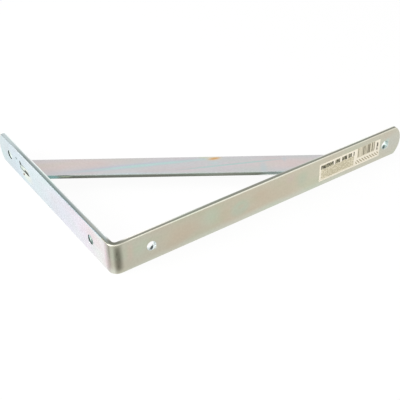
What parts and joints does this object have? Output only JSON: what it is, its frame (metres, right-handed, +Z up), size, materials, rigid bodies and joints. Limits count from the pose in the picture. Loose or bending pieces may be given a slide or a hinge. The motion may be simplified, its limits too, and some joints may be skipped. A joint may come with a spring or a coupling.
{
  "type": "reinforced angle bracket",
  "caption": "Right-angle shelf bracket of flat zinc-plated bar, with rounded arm tips, screw holes and a diagonal flat brace set into both arms.",
  "frame": {"origin": "on the short arm's outer face, midway between its two screw holes", "axes": "+X along the long arm from the heel to its tip, +Y along the short arm from the heel to its tip, +Z up, across the bar's width; the bracket lies on its side edges"},
  "size_m": [0.33, 0.2301, 0.03],
  "materials": {
    "plated_bar": "bright zinc plating with a faint iridescent passivation",
    "plated_brace": "bright zinc plating with a faint iridescent passivation",
    "paper_label": "matt coated paper with plain printed bars"
  },
  "bodies": {
    "root": {"angle_strip": "plated_bar", "brace": "plated_brace", "label": "paper_label"}
  },
  "joints": []
}
